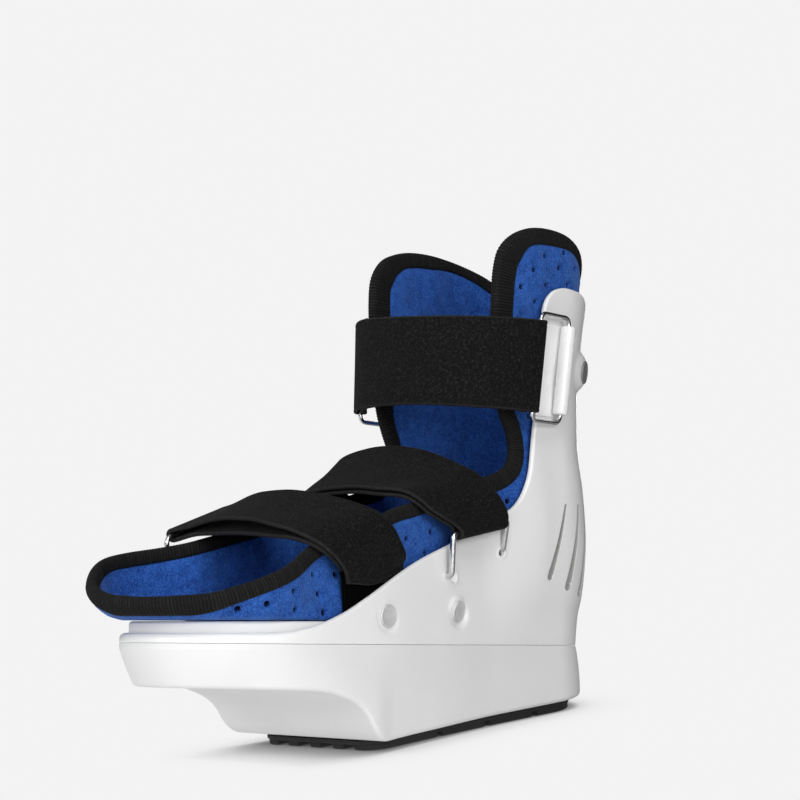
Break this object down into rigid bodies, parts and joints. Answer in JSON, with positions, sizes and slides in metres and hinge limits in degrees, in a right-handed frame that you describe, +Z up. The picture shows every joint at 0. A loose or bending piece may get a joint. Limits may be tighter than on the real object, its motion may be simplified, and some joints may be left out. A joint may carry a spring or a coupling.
{
  "type": "postoperative shoe",
  "caption": "Forefoot-offloading postoperative shoe: wedge sole with free toe end, white heel shell with ankle uprights, padded blue liner, black straps through wire rings.",
  "frame": {"origin": "on the ground, under the middle of the shoe's box", "axes": "+Z up, +X towards the wearer's left, +Y towards the heel, the toe points to -Y"},
  "size_m": [0.1138, 0.3142, 0.2524],
  "materials": {
    "sole_foam": "moulded white foam, satin skin",
    "rubber": "matt black, lugged",
    "shell_plastic": "moulded white plastic, satin",
    "liner_fabric": "blue brushed fabric over foam, perforated",
    "binding_fabric": "black ribbed stretch binding",
    "strap_elastic": "black looped elastic, matt",
    "ring_wire": "plated wire",
    "sleeve_plastic": "white plastic tube",
    "rivet_metal": "flat headed, dull"
  },
  "bodies": {
    "root": {"sole": "sole_foam", "tread": "rubber", "shell": "shell_plastic", "foot_plate": "shell_plastic", "liner": "liner_fabric", "liner_binding": "binding_fabric", "forefoot_strap": "strap_elastic", "instep_strap": "strap_elastic", "ankle_strap": "strap_elastic", "ankle_ring_left": "ring_wire", "ankle_ring_right": "ring_wire", "instep_ring": "ring_wire", "forefoot_ring": "ring_wire", "ring_sleeve_left": "sleeve_plastic", "ring_sleeve_right": "sleeve_plastic", "forefoot_ring_web": "strap_elastic", "rivet_fore_left": "rivet_metal", "rivet_fore_right": "rivet_metal", "rivet_mid_left": "rivet_metal", "rivet_mid_right": "rivet_metal", "rivet_top_left": "rivet_metal", "rivet_top_right": "rivet_metal"}
  },
  "joints": []
}
